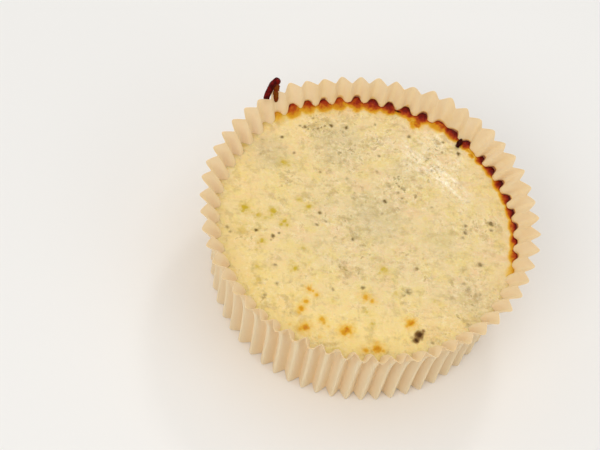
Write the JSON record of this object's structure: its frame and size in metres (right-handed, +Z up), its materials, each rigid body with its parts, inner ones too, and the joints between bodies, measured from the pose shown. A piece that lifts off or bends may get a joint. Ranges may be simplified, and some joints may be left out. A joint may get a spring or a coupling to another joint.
{
  "type": "jiggly cheesecake",
  "caption": "Round soft-baked cheesecake with a dished, speckled top, standing in a flared, pleated paper baking case with a drip burnt onto its rim.",
  "frame": {"origin": "on the ground, under the middle of the case", "axes": "+Z up; -Y is the side nearest the viewer; the drip on the rim is at the back left"},
  "size_m": [0.113, 0.1108, 0.0415],
  "materials": {
    "baked_batter": "moist baked batter, pale cream with grey-green flecks, caramel brown at the edge",
    "baking_paper": "greaseproof baking paper, warm cream, matt with a slight sheen"
  },
  "bodies": {
    "root": {"cheesecake": "baked_batter", "paper_case": "baking_paper"}
  },
  "joints": []
}
